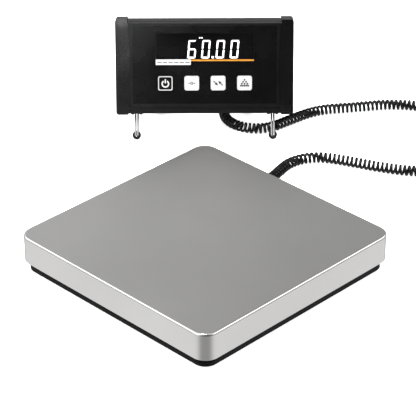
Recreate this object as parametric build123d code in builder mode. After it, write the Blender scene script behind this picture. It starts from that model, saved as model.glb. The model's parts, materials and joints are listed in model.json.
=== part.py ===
"""Bench scale: a square platform with a stainless plate, a separate display unit and a curly cord.

Millimetres, +Z up, the floor at z = 0. The platform stands with one corner towards -Y, the
display stands behind the opposite corner and faces -Y. The origin is under the middle of the
box round both units, and +X is to the right of somebody who reads the display.
"""
import os
from math import cos, pi, radians, sin, tan

from build123d import *

# ---- driving dimensions -------------------------------------------------------------------
plate_side = 300.0          # square weighing plate, outside
plate_corner = 18.0         # its corner radius in plan
plate_skirt = 33.0          # depth of its turned-down rim
plate_sheet = 1.2           # stainless sheet
plate_edge = 2.5            # bend radius along the top edge
scale_height = 47.7         # floor to the weighing surface
scale_y = -93.2             # centre of the platform along Y

base_side = 288.0
base_corner = 14.0
base_sheet = 3.0
foot_height = 3.0
base_wall_top = 24.0
base_rim = 1.0              # how far the folded lower rim of the base stands out
base_rim_top = 8.5

cell_length, cell_width, cell_height = 130.0, 30.0, 22.0
cell_bottom = 12.0
cell_end = 50.0             # from the middle of the cell to its bolts
frame_bottom = 36.0
frame_sheet = 4.0
cushion_reach = 112.0       # rubber cushions from the middle, along each side
overload_gap = 0.8

face_width = 224.0          # display over its end caps
face_height = 114.5
case_depth = 43.0
case_wall = 2.5
case_split = 26.0           # depth of the joint between front and rear covers
tilt = 16.0                 # display leans back from upright
face_edge_y = scale_y + 318.2    # lower front edge of the display
face_edge_z = 30.0
cap_width = 15.5            # end cap, at the side of the covers
cap_lip = 1.2               # its lip stands this far out of the face
cap_up, cap_down = 4.9, 1.4  # the cap goes this far past the covers, up and down

window_width, window_height = 122.5, 32.6
window_up = 28.7            # middle of the window above the middle of the face
key_size, key_corner, key_proud = 18.4, 2.7, 0.9
key_pitch, key_middle, key_up = 33.2, 0.4, -18.4
key_gap = 0.3

leg_x = 86.0
leg_wire = 2.2
leg_spread = 3.0            # between the two strands of a hairpin leg
leg_foot_radius = 5.5

coil_radius = 7.0           # outside of the curly cord
wire_radius = 1.75          # the cord itself

# ---- frames -------------------------------------------------------------------------------
scale_plane = Plane(origin=(0, scale_y, 0), x_dir=(1, 1, 0), z_dir=(0, 0, 1))
normal = Vector(0, -cos(radians(tilt)), sin(radians(tilt)))
slope = Vector(0, sin(radians(tilt)), cos(radians(tilt)))
face_edge = Vector(0, face_edge_y, face_edge_z)
face_plane = Plane(origin=face_edge + slope * (face_height / 2), x_dir=(1, 0, 0), z_dir=normal)
cover_half = face_width / 2 - cap_width

os.makedirs("parts", exist_ok=True)


def save(name, piece):
    """Labels a finished sub-part and writes its STEP file."""
    piece.part.label = name
    export_step(piece.part, f"parts/{name}.step")


def at_height(z):
    """The platform's plane, raised to a height above the floor."""
    return scale_plane.offset(z)


def at_depth(depth):
    """The display's face plane, moved into the case (negative comes out of it)."""
    return face_plane.offset(-depth)


# ---- platform: base -----------------------------------------------------------------------
gland_along = 77.0          # cord exit on the base's back right wall, from the wall's middle
gland_z = 8.6
gland_stem, gland_flange = 2.5, 4.6
gland_flange_end, gland_end = 147.0, 163.0
gland_inside = 138.0
bolt_radius, bolt_head, bolt_clearance = 3.0, 5.0, 0.1
cell_bolts = [(-cell_end - 8, 0), (-cell_end + 8, 0)]
frame_bolts = [(cell_end - 8, 0), (cell_end + 8, 0)]
gland_plane = Plane(
    origin=scale_plane.from_local_coords((gland_inside, gland_along, gland_z)),
    x_dir=(0, 0, 1),
    z_dir=(1, 1, 0),
)

with BuildPart() as base_tray:
    with BuildSketch(at_height(foot_height)):
        RectangleRounded(base_side, base_side, base_corner)
    extrude(amount=base_wall_top - foot_height)
    with BuildSketch(at_height(foot_height)):
        RectangleRounded(base_side + 2 * base_rim, base_side + 2 * base_rim, base_corner + base_rim)
    extrude(amount=base_rim_top - foot_height)
    inside = base_side - 2 * base_sheet
    with BuildSketch(at_height(foot_height + base_sheet)):
        RectangleRounded(inside, inside, base_corner - base_sheet)
    extrude(amount=base_wall_top, mode=Mode.SUBTRACT)
    with BuildSketch(at_height(0)):
        with Locations(*cell_bolts):
            Circle(bolt_head + 1)
    extrude(amount=foot_height + base_sheet, mode=Mode.SUBTRACT)
    with BuildSketch(gland_plane):
        Circle(gland_stem + bolt_clearance)
    extrude(amount=gland_end - gland_inside, mode=Mode.SUBTRACT)
save("base_tray", base_tray)

with BuildPart() as base_feet:
    with BuildSketch(at_height(0)):
        with GridLocations(base_side - 46, base_side - 46, 2, 2):
            Circle(12)
    extrude(amount=foot_height)
save("base_feet", base_feet)

floor_top = foot_height + base_sheet

with BuildPart() as cell_base_plate:
    with BuildSketch(at_height(floor_top)):
        with Locations((-cell_end, 0)):
            RectangleRounded(70, 90, 4)
            with Locations((-8, 0), (8, 0)):
                Circle(bolt_radius + bolt_clearance, mode=Mode.SUBTRACT)
    extrude(amount=4)
save("cell_base_plate", cell_base_plate)

with BuildPart() as lower_spacer:
    with BuildSketch(at_height(floor_top + 4)):
        with Locations((-cell_end, 0)):
            Rectangle(28, 28)
            with Locations((-8, 0), (8, 0)):
                Circle(bolt_radius + bolt_clearance, mode=Mode.SUBTRACT)
    extrude(amount=cell_bottom - floor_top - 4)
save("lower_spacer", lower_spacer)

cell_top = cell_bottom + cell_height
cell_side = Plane(
    origin=scale_plane.from_local_coords((0, -cell_width / 2, cell_bottom + cell_height / 2)),
    x_dir=(1, 1, 0),
    z_dir=(1, -1, 0),
)
with BuildPart() as load_cell:
    with BuildSketch(at_height(cell_bottom)):
        Rectangle(cell_length, cell_width)
    extrude(amount=cell_height)
    # two joined round holes leave the thin bending sections that the strain gauges read
    with BuildSketch(cell_side):
        with Locations((-12, 0), (12, 0)):
            Circle(9)
        Rectangle(24, 6)
    extrude(amount=-cell_width, mode=Mode.SUBTRACT)
    with BuildSketch(at_height(cell_bottom)):
        with Locations(*cell_bolts):
            Circle(bolt_radius + bolt_clearance)
    extrude(amount=12, mode=Mode.SUBTRACT)
    with BuildSketch(at_height(cell_top)):
        with Locations(*frame_bolts):
            Circle(bolt_radius + bolt_clearance)
    extrude(amount=-12, mode=Mode.SUBTRACT)
save("load_cell", load_cell)

with BuildPart() as gauge_sealant:
    with BuildSketch(at_height(cell_top)):
        with Locations((-12, 0), (12, 0)):
            RectangleRounded(14, 20, 4)
    extrude(amount=1)
save("gauge_sealant", gauge_sealant)

with BuildPart() as cell_base_bolts:
    with BuildSketch(at_height(foot_height)):
        with Locations(*cell_bolts):
            Circle(bolt_head)
    extrude(amount=base_sheet)
    with BuildSketch(at_height(floor_top)):
        with Locations(*cell_bolts):
            Circle(bolt_radius)
    extrude(amount=cell_bottom + 11 - floor_top)
save("cell_base_bolts", cell_base_bolts)

with BuildPart() as overload_stops:
    with BuildSketch(at_height(floor_top)):
        with GridLocations(2 * cushion_reach, 2 * cushion_reach, 2, 2):
            RegularPolygon(8, 6)
    extrude(amount=6)
    with BuildSketch(at_height(floor_top + 6)):
        with GridLocations(2 * cushion_reach, 2 * cushion_reach, 2, 2):
            Circle(5)
    extrude(amount=frame_bottom - overload_gap - floor_top - 6)
save("overload_stops", overload_stops)

# ---- platform: wiring ---------------------------------------------------------------------
with BuildPart() as base_gland:
    with BuildSketch(gland_plane):
        Circle(gland_stem)
    extrude(amount=base_side / 2 + base_rim - gland_inside)
    with BuildSketch(gland_plane.offset(base_side / 2 + base_rim - gland_inside)):
        Circle(gland_flange)
    extrude(amount=gland_flange_end - base_side / 2 - base_rim)
    with BuildSketch(gland_plane.offset(gland_flange_end - gland_inside)):
        Circle(4.0)
    with BuildSketch(gland_plane.offset(gland_end - gland_inside)):
        Circle(2.9)
    loft()
save("base_gland", base_gland)

board_x, board_y = 85.0, 40.0
with BuildPart() as junction_board:
    with BuildSketch(at_height(floor_top)):
        with Locations((board_x, board_y)):
            with GridLocations(34, 22, 2, 2):
                Circle(2.4)
    extrude(amount=5)
    with BuildSketch(at_height(floor_top + 5)):
        with Locations((board_x, board_y)):
            RectangleRounded(42, 30, 2)
    extrude(amount=1.6)
save("junction_board", junction_board)

with BuildPart() as terminal_block:
    with BuildSketch(at_height(floor_top + 6.6)):
        with Locations((board_x, board_y)):
            Rectangle(30, 9)
    extrude(amount=9)
    with BuildSketch(at_height(floor_top + 15.6)):
        with Locations((board_x, board_y)):
            with GridLocations(6, 0, 5, 1):
                Circle(1.6)
    extrude(amount=-3, mode=Mode.SUBTRACT)
save("terminal_block", terminal_block)

clamp_x, clamp_side = 118.0, 9.0
lead_radius = 2.0
with BuildPart() as cable_clamp:
    with BuildSketch(at_height(floor_top)):
        with Locations((clamp_x, gland_along)):
            RectangleRounded(clamp_side, 16, 2)
    extrude(amount=7)
    with BuildSketch(gland_plane):
        Circle(lead_radius + bolt_clearance)
    extrude(amount=-2 * (gland_inside - clamp_x), mode=Mode.SUBTRACT)
save("cable_clamp", cable_clamp)

lead_points = [
    scale_plane.from_local_coords((x, y, z))
    for x, y, z in [
        (gland_inside, gland_along, gland_z),
        (108, gland_along, gland_z),
        (98, 61, 14),
        (90, 48, 17.5),
    ]
]
with BuildPart() as inner_lead:
    with BuildLine():
        lead_path = FilletPolyline(*lead_points, radius=5)
    with BuildSketch(gland_plane):
        Circle(lead_radius)
    sweep(path=lead_path)
save("inner_lead", inner_lead)

# ---- platform: moving part ----------------------------------------------------------------
with BuildPart() as top_frame:
    with BuildSketch(at_height(frame_bottom)):
        RectangleRounded(170, 70, 8)
        RectangleRounded(70, 170, 8)
        for turn in (45, 135):
            with Locations(Location((0, 0, 0), (0, 0, turn))):
                Rectangle(2 * cushion_reach * 2**0.5, 34)
        with GridLocations(2 * cushion_reach, 2 * cushion_reach, 2, 2):
            Circle(19)
        with Locations(*frame_bolts):
            Circle(bolt_radius + bolt_clearance, mode=Mode.SUBTRACT)
        with Locations((0, 55), (0, -55)):
            Circle(14, mode=Mode.SUBTRACT)
    extrude(amount=frame_sheet)
save("top_frame", top_frame)

frame_top = frame_bottom + frame_sheet
with BuildPart() as upper_spacer:
    with BuildSketch(at_height(cell_top)):
        with Locations((cell_end, 0)):
            Rectangle(28, 28)
            with Locations((-8, 0), (8, 0)):
                Circle(bolt_radius + bolt_clearance, mode=Mode.SUBTRACT)
    extrude(amount=frame_bottom - cell_top)
save("upper_spacer", upper_spacer)

with BuildPart() as frame_screws:
    with BuildSketch(at_height(frame_top)):
        with Locations(*frame_bolts):
            Circle(bolt_head)
            RegularPolygon(2.6, 6, mode=Mode.SUBTRACT)
    extrude(amount=3.5)
    with BuildSketch(at_height(frame_top + 0.5)):
        with Locations(*frame_bolts):
            Circle(bolt_radius)
    extrude(amount=-(frame_top + 0.5 - cell_top + 11))
save("frame_screws", frame_screws)

plate_under = scale_height - plate_sheet
with BuildPart() as plate_cushions:
    with BuildSketch(at_height(frame_top)):
        with GridLocations(2 * cushion_reach, 2 * cushion_reach, 2, 2):
            Circle(12)
    extrude(amount=plate_under - frame_top)
save("plate_cushions", plate_cushions)

plate_inner = plate_side - 2 * plate_sheet
with BuildPart() as plate_hollow:
    with BuildSketch(at_height(scale_height - plate_skirt)):
        RectangleRounded(plate_inner, plate_inner, plate_corner - plate_sheet)
    extrude(amount=plate_skirt - plate_sheet)
    fillet(plate_hollow.faces().sort_by(Axis.Z)[-1].edges(), plate_edge - plate_sheet)

with BuildPart() as weighing_plate:
    with BuildSketch(at_height(scale_height - plate_skirt)):
        RectangleRounded(plate_side, plate_side, plate_corner)
    extrude(amount=plate_skirt)
    fillet(weighing_plate.faces().sort_by(Axis.Z)[-1].edges(), plate_edge)
    add(plate_hollow.part, mode=Mode.SUBTRACT)
save("weighing_plate", weighing_plate)

# ---- display: case ------------------------------------------------------------------------
key_places = [(key_middle + key_pitch * (k - 1.5), key_up) for k in range(4)]
key_names = ["key_power", "key_zero", "key_unit", "key_count"]
cover_width = 2 * cover_half
bevel_up, bevel_deep = 5.5, 4.0
pane_gap = 0.2
overlay_low, overlay_high = -44.5, 54.5
overlay_sheet = 0.4
socket_x, socket_up, socket_radius = 70.0, -30.0, 4.2
door_width, door_height, door_sheet = 124.0, 66.0, 2.0
door_up = -8.0
screw_x, screw_up = 90.0, 47.0
cord_x, cord_up = -86.0, -40.0

half = face_height / 2
side_plane = Plane(
    origin=face_plane.from_local_coords((-cover_half, 0, 0)), x_dir=slope, z_dir=(1, 0, 0)
)

with BuildPart() as front_cover:
    with BuildSketch(at_depth(case_split)):
        Rectangle(cover_width, face_height)
    extrude(amount=case_split)
    with BuildSketch(side_plane):
        with BuildLine():
            Polyline((-half, 0), (-half + bevel_up, 0), (-half, bevel_deep), close=True)
        make_face()
    extrude(amount=cover_width, mode=Mode.SUBTRACT)
    with BuildSketch(at_depth(case_wall)):
        with Locations((0, 0)):
            Rectangle(cover_width - 2 * case_wall, face_height - 2 * (case_wall + 1.5))
    extrude(amount=-case_split, mode=Mode.SUBTRACT)
    with BuildSketch(at_depth(0)):
        with Locations((key_middle, window_up)):
            RectangleRounded(window_width + 2 * pane_gap, window_height + 2 * pane_gap, 1.5)
        with Locations(*key_places):
            RectangleRounded(key_size + 2 * key_gap, key_size + 2 * key_gap, key_corner)
    extrude(amount=-case_wall - 1, mode=Mode.SUBTRACT)
    # a groove runs along the top, and a thin one parts the lower strip of the face from the bevel
    with BuildSketch(side_plane):
        with Locations((half, -17)):
            Rectangle(1.6, 2.2)
        with Locations((half, -1.2)):
            Rectangle(1.2, 1.4)
    extrude(amount=cover_width, mode=Mode.SUBTRACT)
    with BuildSketch(at_depth(0)):
        with Locations((0, -face_height / 2 + bevel_up + 1.2)):
            Rectangle(cover_width, 1.0)
    extrude(amount=-0.8, mode=Mode.SUBTRACT)
save("front_cover", front_cover)

rear_straight = 34.0        # depth where the rear cover's lower edge starts to taper
rear_taper = 5.0
with BuildPart() as rear_cover:
    with BuildSketch(at_depth(case_split)):
        Rectangle(cover_width, face_height)
    extrude(amount=case_split - rear_straight)
    with BuildSketch(at_depth(rear_straight)):
        Rectangle(cover_width, face_height)
    with BuildSketch(at_depth(case_depth)):
        with Locations((0, rear_taper / 2)):
            Rectangle(cover_width, face_height - rear_taper)
    loft()
    hollow_height = face_height - 2 * (case_wall + rear_taper)
    with BuildSketch(at_depth(case_split)):
        Rectangle(cover_width - 2 * case_wall, hollow_height)
    extrude(amount=case_split - case_depth + case_wall, mode=Mode.SUBTRACT)
    # opening and rebate of the battery door
    with BuildSketch(at_depth(case_depth)):
        with Locations((0, door_up)):
            Rectangle(door_width, door_height)
    extrude(amount=door_sheet, mode=Mode.SUBTRACT)
    with BuildSketch(at_depth(case_depth)):
        with Locations((0, door_up)):
            Rectangle(door_width - 6, door_height - 6)
        with Locations((socket_x, socket_up)):
            Circle(socket_radius + 0.1)
        with Locations((cord_x, cord_up)):
            Circle(gland_stem + bolt_clearance)
        with GridLocations(2 * screw_x, 2 * screw_up, 2, 2):
            Circle(1.7)
    extrude(amount=case_wall + 1, mode=Mode.SUBTRACT)
    with BuildSketch(at_depth(case_depth)):
        with GridLocations(2 * screw_x, 2 * screw_up, 2, 2):
            Circle(3.4)
    extrude(amount=1.2, mode=Mode.SUBTRACT)
save("rear_cover", rear_cover)

with BuildPart() as cover_screws:
    with BuildSketch(at_depth(case_depth - 1.2)):
        with GridLocations(2 * screw_x, 2 * screw_up, 2, 2):
            Circle(3.0)
    extrude(amount=-1.2)
    with BuildSketch(at_depth(case_depth - 0.8)):
        with GridLocations(2 * screw_x, 2 * screw_up, 2, 2):
            Rectangle(3.6, 0.8)
            Rectangle(0.8, 3.6)
    extrude(amount=-1, mode=Mode.SUBTRACT)
    with BuildSketch(at_depth(case_depth - 1.2)):
        with GridLocations(2 * screw_x, 2 * screw_up, 2, 2):
            Circle(1.5)
    extrude(amount=9)
save("cover_screws", cover_screws)


def end_cap(side):
    """One end cap: a hollow block with a rounded back, and a lip over the face that bows inwards."""
    low, high = -half - cap_down, half + cap_up
    front, back = side * cap_lip, -side * (case_depth + cap_lip)
    inner, lip_end, bowed = (side * (cover_half - reach) for reach in (0, 0.8, 3.4))
    inner_plane = Plane(
        origin=face_plane.from_local_coords((inner, 0, 0)), x_dir=slope, z_dir=(side, 0, 0)
    )
    rearmost, outermost = (0, -1) if side > 0 else (-1, 0)
    with BuildPart() as cap:
        with BuildSketch(inner_plane) as profile:
            with BuildLine():
                Polyline((low, front), (high, front), (high, back), (low, back), close=True)
            make_face()
            rear_corners = profile.vertices().group_by(Axis.Y)[rearmost].sort_by(Axis.X)
            fillet(rear_corners[1], 18)
        extrude(amount=cap_width)
        fillet(cap.faces().sort_by(Axis.X)[outermost].edges(), 3.5)
        with BuildSketch(at_depth(-cap_lip)):
            with BuildLine():
                ThreePointArc((lip_end, -half), (bowed, 0), (lip_end, half))
                Polyline((lip_end, half), (inner, half), (inner, -half), (lip_end, -half))
            make_face()
        extrude(amount=-cap_lip + 0.05)
        with BuildSketch(inner_plane):
            with Locations((-1, -side * case_depth / 2)):
                Rectangle(face_height - 16, case_depth - 10)
        extrude(amount=cap_width - 3, mode=Mode.SUBTRACT)
    return cap


save("end_cap_left", end_cap(-1))
save("end_cap_right", end_cap(1))

with BuildPart() as battery_door:
    with BuildSketch(at_depth(case_depth)):
        with Locations((0, door_up)):
            Rectangle(door_width - 0.6, door_height - 0.6)
    extrude(amount=door_sheet - 0.2)
    with BuildSketch(at_depth(case_depth)):
        with Locations((0, door_up + 20)):
            for rib in range(4):
                with Locations((0, 3 * rib)):
                    Rectangle(30, 1.2)
    extrude(amount=-0.6)
save("battery_door", battery_door)

# ---- display: face ------------------------------------------------------------------------
with BuildPart() as face_overlay:
    with BuildSketch(at_depth(0)):
        with Locations((0, (overlay_low + overlay_high) / 2)):
            Rectangle(2 * (cover_half - 6), overlay_high - overlay_low)
        with Locations((key_middle, window_up)):
            Rectangle(window_width + 1, window_height + 1, mode=Mode.SUBTRACT)
        with Locations(*key_places):
            RectangleRounded(key_size + 0.6, key_size + 0.6, key_corner, mode=Mode.SUBTRACT)
    extrude(amount=overlay_sheet)
save("face_overlay", face_overlay)

pane_depth = 1.8
with BuildPart() as display_window:
    with BuildSketch(at_depth(pane_depth)):
        with Locations((key_middle, window_up)):
            RectangleRounded(window_width, window_height, 1.4)
    extrude(amount=pane_depth + 0.3)
save("display_window", display_window)

glass_depth, light_depth, board_depth, board_sheet = 5.0, 9.0, 12.0, 1.6
with BuildPart() as lcd_glass:
    with BuildSketch(at_depth(glass_depth)):
        with Locations((key_middle, window_up)):
            Rectangle(window_width + 6, window_height + 6)
    extrude(amount=glass_depth - case_wall - 0.1)
save("lcd_glass", lcd_glass)

with BuildPart() as lcd_backlight:
    with BuildSketch(at_depth(light_depth)):
        with Locations((key_middle, window_up)):
            Rectangle(window_width + 8, window_height + 8)
    extrude(amount=light_depth - glass_depth)
    with BuildSketch(at_depth(board_depth)):
        with Locations((key_middle, window_up)):
            with GridLocations(window_width, window_height, 2, 2):
                Circle(2)
    extrude(amount=board_depth - light_depth)
save("lcd_backlight", lcd_backlight)

with BuildPart() as main_board:
    with BuildSketch(at_depth(board_depth)):
        with Locations((0, 4)):
            RectangleRounded(168, 92, 2)
    extrude(amount=-board_sheet)
save("main_board", main_board)

plunger_end = 9.4
with BuildPart() as tact_switches:
    with BuildSketch(at_depth(board_depth)):
        with Locations(*key_places):
            Rectangle(6, 6)
    extrude(amount=board_depth - plunger_end - 0.7)
save("tact_switches", tact_switches)

for name, place in zip(key_names, key_places):
    with BuildPart() as key:
        with BuildSketch(at_depth(case_wall + 0.2)):
            with Locations(place):
                RectangleRounded(key_size, key_size, key_corner)
        extrude(amount=case_wall + 0.2 + key_proud)
        fillet(key.faces().sort_by(Axis(face_plane.origin, face_plane.z_dir))[-1].edges(), 0.5)
        with BuildSketch(at_depth(case_wall + 0.2)):
            with Locations(place):
                Rectangle(key_size + 2.5, key_size + 2.5)
        extrude(amount=-1)
        with BuildSketch(at_depth(case_wall + 1.2)):
            with Locations(place):
                Circle(2)
        extrude(amount=case_wall + 1.2 - plunger_end)
    save(name, key)

with BuildPart() as buzzer:
    with BuildSketch(at_depth(board_depth + board_sheet)):
        with Locations((70, 30)):
            Circle(6)
            Circle(1, mode=Mode.SUBTRACT)
    extrude(amount=-5)
save("buzzer", buzzer)

with BuildPart() as processor_chip:
    with BuildSketch(at_depth(board_depth + board_sheet)):
        with Locations((-66, 34)):
            Rectangle(14, 14)
    extrude(amount=-1.4)
save("processor_chip", processor_chip)

# ---- display: batteries -------------------------------------------------------------------
cell_radius, battery_length, battery_pitch = 7.1, 50.0, 15.0
battery_rows = [door_up + battery_pitch * (k - 1.5) for k in range(4)]
box_top, box_wall = 21.0, 1.4
box_width, box_height = 116.0, 62.5
battery_depth = case_depth - door_sheet - cell_radius - 1.5
with BuildPart() as battery_box:
    with BuildSketch(at_depth(box_top)):
        with Locations((0, door_up)):
            Rectangle(box_width / 2 + 4, box_height)
    extrude(amount=-(case_depth - case_wall - box_top - 0.4))
    with BuildSketch(at_depth(box_top + box_wall)):
        with Locations((0, door_up)):
            Rectangle(box_width / 2 + 4 - 2 * box_wall, box_height - 2 * box_wall)
    extrude(amount=-case_depth, mode=Mode.SUBTRACT)
save("battery_box", battery_box)

battery_plane = Plane(
    origin=face_plane.from_local_coords((-battery_length / 2, 0, -battery_depth)),
    x_dir=slope,
    z_dir=(1, 0, 0),
)
with BuildPart() as battery_cells:
    with BuildSketch(battery_plane):
        with Locations(*[(row, 0) for row in battery_rows]):
            Circle(cell_radius)
    extrude(amount=battery_length - 1)
    with BuildSketch(battery_plane.offset(battery_length - 1)):
        with Locations(*[(row, 0) for row in battery_rows]):
            Circle(2.7)
    extrude(amount=1)
save("battery_cells", battery_cells)

with BuildPart() as battery_contacts:
    for start in (-2.4, battery_length + 0.1):
        with BuildSketch(battery_plane.offset(start)):
            with Locations(*[(row, 0) for row in battery_rows]):
                Rectangle(9, 9)
        extrude(amount=0.5)
    with BuildSketch(battery_plane.offset(-1.9)):
        with Locations(*[(row, 0) for row in battery_rows]):
            Circle(3.5)
            Circle(2.7, mode=Mode.SUBTRACT)
    extrude(amount=1.8)
save("battery_contacts", battery_contacts)

# ---- display: sockets, legs and feet ------------------------------------------------------
with BuildPart() as power_socket:
    with BuildSketch(at_depth(case_depth)):
        with Locations((socket_x, socket_up)):
            Circle(socket_radius)
            Circle(2.75, mode=Mode.SUBTRACT)
    extrude(amount=11)
    with BuildSketch(at_depth(case_depth - 11)):
        with Locations((socket_x, socket_up)):
            Circle(socket_radius)
    extrude(amount=1.5)
    with BuildSketch(at_depth(case_depth - 11)):
        with Locations((socket_x, socket_up)):
            Circle(1.0)
    extrude(amount=-9)
save("power_socket", power_socket)

under_plane = Plane(
    origin=face_plane.from_local_coords((0, -half, 0)), x_dir=(1, 0, 0), z_dir=slope * -1
)
pivot_deep, pivot_under, pin_radius = 11.0, 1.6, leg_wire / 2
pivot = face_plane.from_local_coords((0, -half - pivot_under, -pivot_deep))
foot_centre = Vector(0, scale_y + 306.5, leg_foot_radius)
leg_direction = (foot_centre - pivot).normalized()
leg_length = (foot_centre - pivot).length
block_width, block_deep, slot_width, pin_length = 15.0, 7.0, 6.6, 3.4


def leg_plane(x):
    """The plane of a leg's wire, through its pivot, facing forwards."""
    front = Vector(1, 0, 0).cross(leg_direction) * -1
    return Plane(origin=pivot + Vector(x, 0, 0), x_dir=(1, 0, 0), z_dir=front)


def leg_block(x):
    """The hinge block under the case: two cheeks with a hole each, and a slot for the leg."""
    with BuildPart() as block:
        with BuildSketch(under_plane):
            with Locations((x, -pivot_deep)):
                RectangleRounded(block_width, block_deep, 2)
        extrude(amount=pivot_under + 1.4)
        with BuildSketch(under_plane.offset(0.3)):
            with Locations((x, -pivot_deep)):
                Rectangle(slot_width, block_deep + 1)
        extrude(amount=pivot_under + 3, mode=Mode.SUBTRACT)
        with BuildSketch(Plane(origin=pivot + Vector(x - slot_width / 2 - pin_length, 0, 0),
                               x_dir=slope, z_dir=(1, 0, 0))):
            Circle(pin_radius + 0.06)
        extrude(amount=slot_width + 2 * pin_length, mode=Mode.SUBTRACT)
    return block


def wire_leg(x, radius):
    """A hairpin of round wire: two strands from outturned pins, joined by a bend at the foot."""
    bend = leg_spread / 2
    low = -leg_length - bend
    pin = slot_width / 2 + pin_length - 0.3
    corner = 1.3
    with BuildPart() as leg:
        with BuildLine(leg_plane(x)) as wire:
            FilletPolyline(
                (-pin, 0), (-bend, 0), (-bend, low), (bend, low), (bend, 0), (pin, 0),
                radius=[corner, bend * 0.98, bend * 0.98, corner],
            )
        with BuildSketch(Plane(origin=wire.wire() @ 0, z_dir=wire.wire() % 0)):
            Circle(radius)
        sweep(path=wire.wire())
    return leg


for side_name, x in (("left", -leg_x), ("right", leg_x)):
    save(f"leg_block_{side_name}", leg_block(x))
    save(f"leg_{side_name}", wire_leg(x, leg_wire / 2))
    channel = wire_leg(x, leg_wire / 2 + 0.03)
    # the rubber foot is a ball behind the wire, cut flat where the wire's front shows
    with BuildPart() as leg_foot:
        with Locations(foot_centre + Vector(x, 0, 0)):
            Sphere(leg_foot_radius)
        split(bisect_by=leg_plane(x).offset(0.4), keep=Keep.BOTTOM)
        add(channel.part, mode=Mode.SUBTRACT)
    save(f"leg_foot_{side_name}", leg_foot)

# two rubber heels slope backwards from the tapered edge of the rear cover to the floor
heel_x, heel_y = 56.0, scale_y + 382.0
taper_run = case_depth - rear_straight
heel_plane = Plane(
    origin=face_plane.from_local_coords(
        (0, -half + rear_taper / 2, -(rear_straight + case_depth) / 2)
    ),
    x_dir=(1, 0, 0),
    z_dir=slope * -taper_run - normal * rear_taper,
)
with BuildPart() as rear_feet:
    for x in (-heel_x, heel_x):
        with BuildSketch(heel_plane):
            with Locations((x, 0)):
                RectangleRounded(16, 8, 2)
        with BuildSketch(Plane.XY):
            with Locations((x, heel_y)):
                RectangleRounded(18, 9, 3)
        loft()
save("rear_feet", rear_feet)

cord_gland_plane = Plane(
    origin=face_plane.from_local_coords((cord_x, cord_up, -case_depth)),
    x_dir=(1, 0, 0),
    z_dir=normal * -1,
)
gland_length = 17.0
with BuildPart() as display_gland:
    with BuildSketch(cord_gland_plane.offset(-case_wall - 2)):
        Circle(gland_stem)
    extrude(amount=case_wall + 2)
    with BuildSketch(cord_gland_plane):
        Circle(gland_flange)
    extrude(amount=2)
    with BuildSketch(cord_gland_plane.offset(2)):
        Circle(4.0)
    with BuildSketch(cord_gland_plane.offset(gland_length)):
        Circle(2.9)
    loft()
save("display_gland", display_gland)

# ---- curly cord ---------------------------------------------------------------------------
# The curly length is one tube of its outer diameter. Its route lies on the floor: out behind the
# platform, round to the right of both units, under the display and into the back of its case.
tail = 8.0
platform_gland_end = gland_plane.offset(gland_end - gland_inside).origin
coil_start = gland_plane.offset(gland_end - gland_inside + tail).origin
coil_first = gland_plane.offset(gland_end - gland_inside + tail + 17).origin
display_gland_end = cord_gland_plane.offset(gland_length).origin
coil_last = cord_gland_plane.offset(gland_length + tail + 24).origin
coil_end = cord_gland_plane.offset(gland_length + tail).origin
coil_floor = [
    (90, 209), (105, 234), (137, 248), (174, 237), (214, 220), (262, 207), (312, 219),
    (345, 258), (352, 308), (331, 352), (289, 378), (241, 386), (193, 377), (147, 371),
    (111, 345), (80, 319), (46, 322), (24, 348), (26, 386), (16, 425), (-18, 449), (-58, 445),
]
coil_route = [coil_start, coil_first]
coil_route += [Vector(x, scale_y + y, coil_radius) for x, y in coil_floor]
coil_route += [coil_last, coil_end]


def route_radii(route):
    """The largest arcs that the runs beside each corner allow."""
    radii = []
    for before, corner, after in zip(route, route[1:], route[2:]):
        run_in, run_out = corner - before, after - corner
        turn = run_in.get_angle(run_out)
        shorter = min(run_in.length, run_out.length)
        radii.append(0.45 * shorter / tan(radians(turn / 2)))
    return radii


coil_radii = route_radii(coil_route)
print("smallest coil radius", round(min(coil_radii), 1))

with BuildPart() as cord_coil:
    with BuildLine() as coil_line:
        FilletPolyline(*coil_route, radius=coil_radii)
    with BuildSketch(Plane(origin=coil_start, z_dir=gland_plane.z_dir)):
        Circle(coil_radius)
    sweep(path=coil_line.wire())
save("cord_coil", cord_coil)
section = pi * coil_radius**2
print("coil length", round(coil_line.wire().length), "volume ratio",
      round(cord_coil.part.volume / (section * coil_line.wire().length), 4))

for name, start, end in (
    ("tail_platform", platform_gland_end, coil_start),
    ("tail_display", display_gland_end, coil_end),
):
    with BuildPart() as cord_tail:
        with BuildSketch(Plane(origin=start, z_dir=end - start)):
            Circle(wire_radius)
        extrude(amount=tail)
    save(name, cord_tail)
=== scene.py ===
"""Looks of the bench scale: materials, printed face, digits, key symbols and the curly cord."""
import json
import bmesh
import bpy
from math import ceil, cos, hypot, pi, radians, sin
from mathutils import Matrix, Vector


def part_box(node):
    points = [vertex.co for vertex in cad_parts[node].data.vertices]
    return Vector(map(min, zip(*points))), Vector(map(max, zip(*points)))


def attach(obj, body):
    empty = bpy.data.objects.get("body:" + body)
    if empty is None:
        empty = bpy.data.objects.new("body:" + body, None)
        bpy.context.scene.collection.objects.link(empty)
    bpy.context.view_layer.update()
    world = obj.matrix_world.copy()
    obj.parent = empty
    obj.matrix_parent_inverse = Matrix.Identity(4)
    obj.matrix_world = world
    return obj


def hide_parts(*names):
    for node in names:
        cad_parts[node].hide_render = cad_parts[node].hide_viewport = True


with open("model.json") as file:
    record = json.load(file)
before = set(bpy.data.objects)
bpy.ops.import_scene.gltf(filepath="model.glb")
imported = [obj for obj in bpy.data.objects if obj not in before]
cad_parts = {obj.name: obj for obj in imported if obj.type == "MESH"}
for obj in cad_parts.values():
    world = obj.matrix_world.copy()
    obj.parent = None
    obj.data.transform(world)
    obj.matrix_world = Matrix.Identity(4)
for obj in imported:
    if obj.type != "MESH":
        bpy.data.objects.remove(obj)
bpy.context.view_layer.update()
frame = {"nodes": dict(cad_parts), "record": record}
nodes = frame["nodes"]
MM = 0.001

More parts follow.
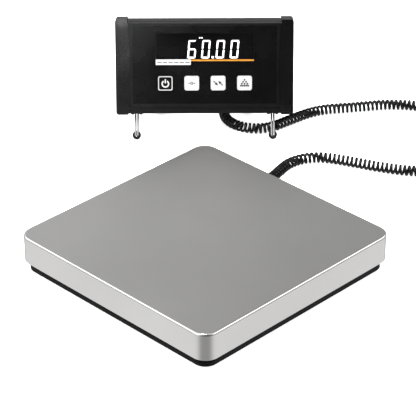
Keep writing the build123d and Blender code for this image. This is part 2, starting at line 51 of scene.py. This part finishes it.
# ---- the display's face: x to the right, y up the slope, z out of it, in millimetres -------
TILT = radians(16)
RIGHT = Vector((1, 0, 0))
UP = Vector((0, sin(TILT), cos(TILT)))
OUT = Vector((0, -cos(TILT), sin(TILT)))
low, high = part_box("face_overlay")
OVERLAY_SHEET = 0.4
OVERLAY_UP = 5     # the overlay sits this far above the middle of the face
FACE_CENTRE = (low + high) / 2 - (OVERLAY_UP * UP + OVERLAY_SHEET / 2 * OUT) * MM
WINDOW_X = 0.4
WINDOW_TOP = 0.3
KEY_TOP = 0.9
KEY_PITCH, KEY_Y = 33.2, -18.4
KEY_X = [WINDOW_X + KEY_PITCH * (k - 1.5) for k in range(4)]
PRINT_THICK = 0.05


def face_point(x, y, z=0.0):
    return FACE_CENTRE + (RIGHT * x + UP * y + OUT * z) * MM


# ---- materials ----------------------------------------------------------------------------
class Shade:
    """A node material with short calls for the nodes used here."""

    def __init__(self, name, **sockets):
        self.mat = bpy.data.materials.new(name)
        self.mat.use_nodes = True
        self.tree = self.mat.node_tree
        self.bsdf = self.tree.nodes["Principled BSDF"]
        for socket, value in sockets.items():
            self.bsdf.inputs[socket.replace("_", " ")].default_value = value
        self.where = self.tree.nodes.new("ShaderNodeTexCoord").outputs["Object"]

    def node(self, kind, inputs=(), **settings):
        made = self.tree.nodes.new("ShaderNode" + kind)
        for key, value in settings.items():
            setattr(made, key, value)
        for key, value in dict(inputs).items():
            if isinstance(value, bpy.types.NodeSocket):
                self.tree.links.new(value, made.inputs[key])
            else:
                made.inputs[key].default_value = value
        return made

    def link(self, output, socket):
        self.tree.links.new(output, self.bsdf.inputs[socket])

    def noise(self, scale, detail=3.0, stretch=(1, 1, 1), turn=(0, 0, 0), seed=0.0):
        place = self.node("Mapping", {"Vector": self.where, "Scale": stretch, "Rotation": turn,
                                      "Location": (seed, seed, 0)})
        made = self.node("TexNoise", {"Vector": place.outputs[0], "Scale": scale, "Detail": detail})
        return made.outputs["Fac"]

    def spread(self, value, low, high, start=0.3, end=0.7):
        made = self.node("MapRange", {"Value": value, "From Min": start, "From Max": end,
                                      "To Min": low, "To Max": high})
        return made.outputs[0]

    def blend(self, value, dark, light):
        made = self.node("Mix", data_type="RGBA")
        self.tree.links.new(value, made.inputs[0])
        made.inputs[6].default_value = (*dark, 1)
        made.inputs[7].default_value = (*light, 1)
        return made.outputs[2]

    def bump(self, value, strength, distance):
        made = self.node("Bump", {"Height": value, "Strength": strength, "Distance": distance})
        self.link(made.outputs[0], "Normal")


def grey(value):
    return (value, value, value, 1)


def stainless():
    """Brushed sheet: fine lines along one side of the plate, with faint clouds of grime."""
    s = Shade("stainless", Metallic=1.0)
    lines = s.noise(900, 4, stretch=(1.0, 0.012, 0.4), turn=(0, 0, radians(45)))
    clouds = s.noise(7, 4, seed=3.0)
    colour = s.blend(s.spread(clouds, 0, 1), (0.555, 0.55, 0.545), (0.60, 0.595, 0.59))
    s.link(colour, "Base Color")
    s.link(s.spread(lines, 0.28, 0.34), "Roughness")
    s.bump(lines, 0.06, 0.00003)
    return s.mat


def black_plastic(name, roughness, tone, grain=1500, strength=0.25, shine=0.32):
    """Moulded plastic: a fine spark texture, with rubbed and duller patches."""
    s = Shade(name, Specular_IOR_Level=shine)
    grains = s.noise(grain, 2)
    wear = s.noise(25, 4, seed=5.0)
    fresh = (tone, tone, tone * 1.05)
    rubbed = (tone * 1.5, tone * 1.5, tone * 1.6)
    s.link(s.blend(s.spread(wear, 0, 1), fresh, rubbed), "Base Color")
    s.link(s.spread(wear, roughness - 0.05, roughness + 0.07), "Roughness")
    s.bump(grains, strength, 0.00005)
    return s.mat


def powder_coat():
    """Powder-coated sheet: a fine orange peel."""
    s = Shade("base_black", Specular_IOR_Level=0.06)
    peel = s.noise(420, 3)
    colour = s.blend(s.spread(peel, 0, 1), (0.002, 0.002, 0.0022), (0.005, 0.005, 0.0055))
    s.link(colour, "Base Color")
    s.link(s.spread(peel, 0.38, 0.5), "Roughness")
    s.bump(peel, 0.3, 0.0001)
    return s.mat


def rubber():
    """Dull rubber with a trace of dust."""
    s = Shade("rubber_black", Specular_IOR_Level=0.12)
    dust = s.noise(160, 5)
    colour = s.blend(s.spread(dust, 0, 1), (0.004, 0.004, 0.004), (0.010, 0.010, 0.010))
    s.link(colour, "Base Color")
    s.link(s.spread(dust, 0.6, 0.78), "Roughness")
    s.bump(s.noise(1800, 2), 0.3, 0.00008)
    return s.mat


def metal(name, tone, roughness):
    """Bare or plated metal, faintly stained."""
    s = Shade(name, Metallic=1.0)
    stain = s.noise(140, 4)
    dark, light = (tone * 0.93,) * 3, (tone,) * 3
    s.link(s.blend(s.spread(stain, 0, 1), dark, light), "Base Color")
    s.link(s.spread(stain, roughness, roughness + 0.07), "Roughness")
    return s.mat


def plain(name, dark, light, roughness, scale=300, **sockets):
    """A painted, printed or moulded finish with a little mottling."""
    s = Shade(name, **sockets)
    mottle = s.noise(scale, 3)
    s.link(s.blend(s.spread(mottle, 0, 1), dark, light), "Base Color")
    s.link(s.spread(mottle, roughness, roughness + 0.08), "Roughness")
    s.bump(s.noise(1600, 2), 0.1, 0.00004)
    return s.mat


def lit(name, colour, strength):
    """A lit segment of the digits."""
    s = Shade(name, Base_Color=(*colour, 1), Roughness=0.5, Emission_Color=(*colour, 1),
              Emission_Strength=strength)
    return s.mat


def pane():
    """Dark clear window over the digits."""
    s = Shade("window", Specular_IOR_Level=0.12)
    haze = s.noise(30, 3)
    colour = s.blend(s.spread(haze, 0, 1), (0.002, 0.002, 0.0022), (0.0035, 0.0035, 0.0038))
    s.link(colour, "Base Color")
    s.link(s.spread(haze, 0.16, 0.24), "Roughness")
    return s.mat


finishes = {
    "stainless": stainless(),
    "base_black": powder_coat(),
    "steel": metal("steel", 0.62, 0.28),
    "cell_alloy": metal("cell_alloy", 0.78, 0.32),
    "rubber_black": rubber(),
    "case_black": black_plastic("case_black", 0.36, 0.003),
    "cap_black": black_plastic("cap_black", 0.15, 0.0022, 1200, 0.03, 0.75),
    "overlay_black": black_plastic("overlay_black", 0.25, 0.0022, 2600, 0.04, 0.2),
    "window": pane(),
    "lcd": plain("lcd", (0.01, 0.01, 0.012), (0.014, 0.014, 0.016), 0.2),
    "backlight_white": plain("backlight_white", (0.8, 0.8, 0.8), (0.88, 0.88, 0.87), 0.5),
    "board_green": plain("board_green", (0.02, 0.16, 0.06), (0.03, 0.22, 0.08), 0.35),
    "terminal_grey": plain("terminal_grey", (0.05, 0.05, 0.055), (0.08, 0.08, 0.085), 0.45),
    "cell_jacket": plain("cell_jacket", (0.10, 0.11, 0.13), (0.14, 0.15, 0.17), 0.25),
    "key_black": black_plastic("key_black", 0.35, 0.001, 1500, 0.1, 0.1),
    "key_white": plain("key_white", (0.53, 0.53, 0.53), (0.58, 0.58, 0.58), 0.5),
    "wire_chrome": metal("wire_chrome", 0.36, 0.16),
    "cord_black": plain("cord_black", (0.0012, 0.0012, 0.0013), (0.0025, 0.0025, 0.0026), 0.14, 200,
                        Specular_IOR_Level=0.3),
}
print_orange = plain("print_orange", (0.50, 0.20, 0.010), (0.56, 0.24, 0.015), 0.5)
print_white = plain("print_white", (0.58, 0.58, 0.57), (0.66, 0.66, 0.65), 0.45)
print_grey = plain("print_grey", (0.10, 0.10, 0.11), (0.15, 0.15, 0.16), 0.45)
print_dark = plain("print_dark", (0.004, 0.004, 0.004), (0.008, 0.008, 0.008), 0.5)
digit_white = lit("digit_white", (1.0, 1.0, 1.0), 0.95)

for entry in frame["record"]["subparts"]:
    node = nodes[entry["node"]]
    node.data.materials.clear()
    node.data.materials.append(finishes[entry["material_slot"]])


# ---- flat printed pieces on the face ------------------------------------------------------
def shape_piece(name, shapes, z, thick, material, body):
    """Flat shapes on the face, each a list of faces that share points, given a thickness."""
    bm = bmesh.new()
    for shape in shapes:
        points = {}
        faces = []
        for face in shape:
            corners = []
            for x, y in face:
                key = (round(x, 4), round(y, 4))
                if key not in points:
                    points[key] = bm.verts.new(face_point(x, y, z + thick))
                corners.append(points[key])
            faces.append(bm.faces.new(corners))
        grown = bmesh.ops.extrude_face_region(bm, geom=faces, use_keep_orig=True)
        moved = [g for g in grown["geom"] if isinstance(g, bmesh.types.BMVert)]
        bmesh.ops.translate(bm, verts=moved, vec=-OUT * thick * MM)
    bmesh.ops.recalc_face_normals(bm, faces=bm.faces)
    mesh = bpy.data.meshes.new(name)
    bm.to_mesh(mesh)
    bm.free()
    mesh.materials.append(material)
    piece = bpy.data.objects.new(name, mesh)
    bpy.context.scene.collection.objects.link(piece)
    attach(piece, body)
    return piece


def rectangle(x, y, width, height):
    w, h = width / 2, height / 2
    return [[(x - w, y - h), (x + w, y - h), (x + w, y + h), (x - w, y + h)]]


def round_loop(x, y, width, height, corner, steps=6):
    """The corners of a rectangle with rounded corners, anticlockwise."""
    loop = []
    for quarter in range(4):
        sx, sy = (1, 1, -1, -1)[quarter], (-1, 1, 1, -1)[quarter]
        for step in range(steps + 1):
            angle = radians(90 * (quarter - 1 + step / steps))
            loop.append((x + sx * (width / 2 - corner) + corner * cos(angle),
                         y + sy * (height / 2 - corner) + corner * sin(angle)))
    return loop


def band(outer, inner, closed=True):
    """A strip of faces between two lines with as many points each."""
    n = len(outer)
    count = n if closed else n - 1
    return [[outer[k], outer[(k + 1) % n], inner[(k + 1) % n], inner[k]] for k in range(count)]


def arc(x, y, radius, start, end, steps=40):
    angles = [radians(start + (end - start) * k / steps) for k in range(steps + 1)]
    return [(x + radius * cos(a), y + radius * sin(a)) for a in angles]


def bar(x0, y0, x1, y1, width):
    """A straight stroke from one point to another."""
    length = hypot(x1 - x0, y1 - y0)
    nx, ny = -(y1 - y0) / length * width / 2, (x1 - x0) / length * width / 2
    return [[(x0 + nx, y0 + ny), (x0 - nx, y0 - ny), (x1 - nx, y1 - ny), (x1 + nx, y1 + ny)]]


def arrow_head(x, y, angle, size):
    """A triangle that points along the angle, in degrees."""
    turn = radians(angle)
    points = [(size, 0), (-size * 0.6, size * 0.75), (-size * 0.6, -size * 0.75)]
    return [[(x + px * cos(turn) - py * sin(turn), y + px * sin(turn) + py * cos(turn))
             for px, py in points]]


# ---- digits -------------------------------------------------------------------------------
DIGIT_W, DIGIT_H, STROKE, LEAN = 10.2, 23.0, 1.9, 0.085
DIGIT_LOW = 13.3
READOUT = (("6", -21.8), ("0", -4.4), ("0", 13.8), ("0", 31.5))
POINT_X, POINT_SIZE = 10.3, 2.6
LIT_Z = WINDOW_TOP + 0.02
SEGMENTS = {"0": "abcdef", "6": "acdefg"}


def segment(kind, x, y):
    """One bar of a seven-segment digit with its lower left corner at (x, y), leaning right."""
    w, h, s, gap = DIGIT_W, DIGIT_H, STROKE, 0.5
    mid = h / 2
    flat = {"a": h - s / 2, "g": mid, "d": s / 2}
    upright = {"b": (w, mid, h), "c": (w, 0, mid), "e": (0, 0, mid), "f": (0, mid, h)}
    if kind in flat:
        cy = flat[kind]
        x0, x1, half = gap + 0.25, w - gap - 0.25, s / 2
        if kind == "g":
            points = [(x0 + half, cy - half), (x1 - half, cy - half), (x1, cy),
                      (x1 - half, cy + half), (x0 + half, cy + half), (x0, cy)]
        else:
            inside = -half if kind == "a" else half
            points = [(x0, cy - inside), (x1, cy - inside),
                      (x1 - s, cy + inside), (x0 + s, cy + inside)]
    else:
        side, start, end = upright[kind]
        inner = -s if side else s
        y0, y1 = start + gap, end - gap
        if start:
            points = [(side, y0 + gap), (side, y1), (side + inner, y1 - s), (side + inner, y0 + s / 2),
                      (side + inner / 2, y0)]
        else:
            points = [(side, y0), (side, y1 - gap), (side + inner / 2, y1), (side + inner, y1 - s / 2),
                      (side + inner, y0 + s)]
    return [[(x + px + LEAN * py, y + py) for px, py in points]]


digits = []
for text, left in READOUT:
    digits += [segment(kind, left, DIGIT_LOW) for kind in SEGMENTS[text]]
digits.append(rectangle(POINT_X, DIGIT_LOW + POINT_SIZE / 2, POINT_SIZE, POINT_SIZE))
shape_piece("digits", digits, LIT_Z, PRINT_THICK, digit_white, "root")
unit_mark = [rectangle(-5.9 + 2.7 * k, 39.3, 1.4, 1.5) for k in range(2)]
shape_piece("unit_mark", unit_mark, LIT_Z, PRINT_THICK, digit_white, "root")

# ---- printed face -------------------------------------------------------------------------
LINE_Y, LINE_WIDTH, LINE_THICK = 10.8, 123.4, 2.1
LABEL_X, LABEL_Y, LABEL_RAISED = -39.2, 8.5, 0.12
orange_line = [rectangle(WINDOW_X, LINE_Y, LINE_WIDTH, LINE_THICK)]
shape_piece("orange_line", orange_line, OVERLAY_SHEET, PRINT_THICK,
            print_orange, "root")
rating_label = [[round_loop(LABEL_X, LABEL_Y, 44.0, 7.0, 0.5)]]
shape_piece("rating_label", rating_label, OVERLAY_SHEET, LABEL_RAISED,
            print_white, "root")
label_bars = [rectangle(-56.5 + 7.0 * k, 8.2, 5.4, 1.5) for k in range(6)]
shape_piece("label_bars", label_bars, OVERLAY_SHEET + LABEL_RAISED, 0.03,
            print_grey, "root")

# ---- keys: symbols ride on the caps --------------------------------------------------------
x = KEY_X[0]
power = [
    band(round_loop(x, KEY_Y, 18.0, 18.0, 2.5), round_loop(x, KEY_Y, 16.0, 16.0, 1.8)),
    band(arc(x, KEY_Y - 0.6, 4.9, 122, 418), arc(x, KEY_Y - 0.6, 3.2, 122, 418),
         closed=False),
    rectangle(x, KEY_Y + 2.7, 1.6, 5.2),
]
shape_piece("symbol_power", power, KEY_TOP, PRINT_THICK, print_white, "power_key")
x = KEY_X[1]
zero = [band(arc(x, KEY_Y, 2.0, 0, 360), arc(x, KEY_Y, 0.7, 0, 360), closed=False)]
for side in (-1, 1):
    zero.append(bar(x + side * 4.4, KEY_Y, x + side * 3.2, KEY_Y, 1.5))
    zero.append(arrow_head(x + side * 3.0, KEY_Y, 90 + side * 90, 1.3))
shape_piece("symbol_zero", zero, KEY_TOP, PRINT_THICK, print_grey, "zero_key")
x = KEY_X[2]
unit = []
for turn in (1, -1):
    unit.append(bar(x - turn * 5.8, KEY_Y + turn * 2.8, x - turn * 2.2, KEY_Y - turn * 0.8, 1.3))
    unit.append(arrow_head(x - turn * 1.9, KEY_Y - turn * 1.2, -45 if turn > 0 else 135, 2.5))
shape_piece("symbol_unit", unit, KEY_TOP, PRINT_THICK, print_dark, "unit_key")
x = KEY_X[3]
DOT_ROWS = ((1, 0, 4.2), (2, 3.8, 1.7), (3, 6.8, -0.8), (5, 9.2, -3.3))
dots = []
for count, width, up in DOT_ROWS:
    for k in range(count):
        across = width * (k / (count - 1) - 0.5) if count > 1 else 0
        dots.append([round_loop(x + across, KEY_Y + up, 2.3, 2.3, 1.1, 3)])
shape_piece("symbol_count", dots, KEY_TOP, PRINT_THICK, print_dark, "count_key")


# ---- curly cord ---------------------------------------------------------------------------
# The route repeats the cord's own points: millimetres, from the middle of the platform.
SCALE_Y = (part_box("weighing_plate")[0].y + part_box("weighing_plate")[1].y) / 2
GLAND_OUT = (60.81, 169.71, 8.6)
COIL_START = [(66.47, 175.36, 8.6), (78.49, 187.38, 8.6)]
COIL_FLOOR = [
    (90, 209), (105, 234), (137, 248), (174, 237), (214, 220), (262, 207), (312, 219),
    (345, 258), (352, 308), (331, 352), (289, 378), (241, 386), (193, 377), (147, 371),
    (111, 345), (80, 319), (46, 322), (24, 348), (26, 386), (16, 425), (-18, 449), (-58, 445),
]
COIL_END = [(-86.0, 411.39, 21.23), (-86.0, 388.32, 27.84)]
GLAND_BACK = (-86.0, 380.63, 30.04)
COIL_RADIUS, WIRE_RADIUS, PITCH = 7.0, 1.75, 5.6
WIRE_SIDES, TURN_STEPS = 8, 14


def row_point(point):
    return Vector((point[0] * MM, SCALE_Y + point[1] * MM, point[2] * MM))


def smooth_line(points):
    """The centreline through control points, as a fine list of places."""
    curve = bpy.data.curves.new("route", "CURVE")
    curve.dimensions = "3D"
    curve.resolution_u = 40
    spline = curve.splines.new("NURBS")
    spline.points.add(len(points) - 1)
    for target, point in zip(spline.points, points):
        target.co = (*point, 1)
    spline.order_u = 3
    spline.use_endpoint_u = True
    holder = bpy.data.objects.new("route", curve)
    bpy.context.scene.collection.objects.link(holder)
    bpy.context.view_layer.update()
    mesh = bpy.data.meshes.new_from_object(holder)
    line = [v.co.copy() for v in mesh.vertices]
    bpy.data.meshes.remove(mesh)
    bpy.data.objects.remove(holder)
    bpy.data.curves.remove(curve)
    return line


def evenly(line, step):
    """Places along a line at even steps, and the length of the line."""
    lengths = [0.0]
    for a, b in zip(line, line[1:]):
        lengths.append(lengths[-1] + (b - a).length)
    count = int(ceil(lengths[-1] / step))
    placed, k = [], 0
    for n in range(count + 1):
        at = lengths[-1] * n / count
        while k < len(line) - 2 and lengths[k + 1] < at:
            k += 1
        part = (at - lengths[k]) / max(lengths[k + 1] - lengths[k], 1e-12)
        placed.append(line[k].lerp(line[k + 1], min(max(part, 0.0), 1.0)))
    return placed, lengths[-1]


def carried_frames(places):
    """A side and a second side at each place, carried along without twist."""
    ways = []
    for k in range(len(places)):
        ways.append((places[min(k + 1, len(places) - 1)] - places[max(k - 1, 0)]).normalized())
    side = ways[0].cross(Vector((0, 0, 1))).normalized()
    frames = []
    for way in ways:
        side = (side - way * side.dot(way)).normalized()
        frames.append((side, way.cross(side)))
    return frames


def ease(value):
    value = min(max(value, 0.0), 1.0)
    return value * value * (3 - 2 * value)


def helix_line():
    """The wire's own line: a helix along the route, with a straight tail into each gland."""
    route = [row_point((x, y, COIL_RADIUS)) for x, y in COIL_FLOOR]
    route = [row_point(p) for p in COIL_START] + route + [row_point(p) for p in COIL_END]
    step = PITCH * MM / TURN_STEPS
    places, length = evenly(smooth_line(route), step)
    frames = carried_frames(places)
    swing = (COIL_RADIUS - WIRE_RADIUS) * MM
    grow = 2 * PITCH * MM
    line = [row_point(GLAND_OUT)]
    for n, (place, (side, lift)) in enumerate(zip(places, frames)):
        along = length * n / (len(places) - 1)
        radius = swing * ease(along / grow) * ease((length - along) / grow)
        turn = 2 * pi * along / (PITCH * MM)
        line.append(place + (side * cos(turn) + lift * sin(turn)) * radius)
    line.append(row_point(GLAND_BACK))
    return line


def tube(name, line, radius, sides, material):
    """A capped round tube along a line."""
    frames = carried_frames(line)
    vertices, faces = [], []
    for place, (side, lift) in zip(line, frames):
        for k in range(sides):
            angle = 2 * pi * k / sides
            vertices.append(place + (side * cos(angle) + lift * sin(angle)) * radius)
    for ring in range(len(line) - 1):
        for k in range(sides):
            a, b = ring * sides + k, ring * sides + (k + 1) % sides
            faces.append((a, b, b + sides, a + sides))
    faces.append(tuple(reversed(range(sides))))
    faces.append(tuple(range(len(vertices) - sides, len(vertices))))
    mesh = bpy.data.meshes.new(name)
    mesh.from_pydata([tuple(v) for v in vertices], [], faces)
    mesh.polygons.foreach_set("use_smooth", [len(p.vertices) == 4 for p in mesh.polygons])
    mesh.materials.append(material)
    mesh.update()
    piece = bpy.data.objects.new(name, mesh)
    bpy.context.scene.collection.objects.link(piece)
    return piece


wire_line = helix_line()
cord = tube("curly_cord", wire_line, WIRE_RADIUS * MM, WIRE_SIDES, finishes["cord_black"])
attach(cord, "root")
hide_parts("cord_coil", "tail_platform", "tail_display")


# ---- stage: pale floor, soft light, camera ------------------------------------------------
def make_floor():
    """A pale bench that lights itself a little, so that shadows on it stay faint."""
    mesh = bpy.data.meshes.new("floor")
    reach = 12.0
    corners = [(-reach, -reach, 0), (reach, -reach, 0), (reach, reach, 0), (-reach, reach, 0)]
    mesh.from_pydata(corners, [], [(0, 1, 2, 3)])
    shade = Shade("floor_pale", Roughness=0.9, Base_Color=grey(0.93), Emission_Color=grey(1.0),
                  Emission_Strength=0.75)
    shade.bsdf.inputs["Specular IOR Level"].default_value = 0.0
    mesh.materials.append(shade.mat)
    floor = bpy.data.objects.new("floor", mesh)
    bpy.context.scene.collection.objects.link(floor)
    floor.visible_glossy = False


def make_light(name, place, target, size, power, glossy=True, spread=180):
    light = bpy.data.lights.new(name, "AREA")
    light.shape = "RECTANGLE"
    light.size, light.size_y = size
    light.energy = power
    light.spread = radians(spread)
    holder = bpy.data.objects.new(name, light)
    holder.location = place
    holder.rotation_euler = (Vector(target) - Vector(place)).to_track_quat("-Z", "Y").to_euler()
    holder.visible_glossy = glossy
    bpy.context.scene.collection.objects.link(holder)


def make_world():
    """A studio round the object: bright overhead and low at both sides, dark behind the viewer."""
    world = bpy.data.worlds.new("studio")
    bpy.context.scene.world = world
    world.use_nodes = True
    tree = world.node_tree
    where = tree.nodes.new("ShaderNodeTexCoord")
    split = tree.nodes.new("ShaderNodeSeparateXYZ")
    tree.links.new(where.outputs["Generated"], split.inputs[0])

    def ramp(value, start, end, low, high):
        made = tree.nodes.new("ShaderNodeMapRange")
        made.interpolation_type = "SMOOTHSTEP"
        tree.links.new(value, made.inputs["Value"])
        limits = {"From Min": start, "From Max": end, "To Min": low, "To Max": high}
        for key, number in limits.items():
            made.inputs[key].default_value = number
        return made.outputs[0]

    def join(kind, a, b):
        made = tree.nodes.new("ShaderNodeMath")
        made.operation = kind
        for socket, value in zip(made.inputs, (a, b)):
            if isinstance(value, (int, float)):
                socket.default_value = value
            else:
                tree.links.new(value, socket)
        return made.outputs[0]

    across, along, height = split.outputs
    below = ramp(join("ABSOLUTE", across, 0), 0.35, 0.8, 0.47, 1.15)
    above = join("MULTIPLY", ramp(across, -0.14, 0.14, 0.68, 0.34),
                 ramp(height, 0.40, 0.62, 1.45, 0.74))
    above = join("MULTIPLY", above, ramp(along, -0.75, -0.2, 0.14, 1.0))
    above = join("MULTIPLY", above, ramp(height, -0.05, 0.3, 0.35, 1.0))
    above = join("ADD", above, ramp(height, 0.86, 0.97, 0.0, 0.5))
    rows = join("MULTIPLY", ramp(height, 0.34, 0.5, 0.0, 1.0), ramp(height, 0.78, 0.9, 1.0, 0.0))
    sides = join("MULTIPLY", ramp(join("ABSOLUTE", across, 0), 0.5, 0.68, 0.0, 3.5), rows)
    above = join("ADD", above, sides)
    is_below = ramp(height, -0.34, -0.16, 1.0, 0.0)
    strength = join("ADD", join("MULTIPLY", below, is_below),
                    join("MULTIPLY", above, join("SUBTRACT", 1.0, is_below)))
    tree.nodes["Background"].inputs["Color"].default_value = grey(1.0)
    tree.links.new(strength, tree.nodes["Background"].inputs["Strength"])


def make_camera():
    """The viewpoint: far off, looking down at the middle of the plate."""
    elevation, distance, roll = radians(31.4), 2.336, radians(0.18)
    plate = Vector((0, SCALE_Y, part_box("weighing_plate")[1].z))
    back = Vector((0, -cos(elevation), sin(elevation)))
    camera = bpy.data.cameras.new("camera")
    camera.lens = 179.3
    camera.sensor_width = 36.0
    camera.shift_x, camera.shift_y = 0.0070, 0.0593
    camera.clip_end = 100
    holder = bpy.data.objects.new("camera", camera)
    holder.matrix_world = (Matrix.Translation(plate + back * distance)
                           @ Matrix.Rotation(pi / 2 - elevation, 4, "X")
                           @ Matrix.Rotation(-roll, 4, "Z"))
    bpy.context.scene.collection.objects.link(holder)
    bpy.context.scene.camera = holder


bpy.context.scene.view_settings.view_transform = "Standard"
make_floor()
make_world()
make_camera()
make_light("overhead", (0, 0.1, 3.0), (0, 0.1, 0), (5.0, 5.0), 150, glossy=False)
make_light("cord_glint", (-0.2, -0.3, 2.6), (0.1, 0.1, 0), (0.4, 0.3), 30)
make_light("left_card", (-2.2, -2.2, 1.0), (0, 0.2, 0.05), (1.2, 1.6), 20)
make_light("face_sheen", (-0.18, -0.35, 0.27), (-0.12, 0.25, 0.13), (0.12, 0.07), 0.075, spread=60)
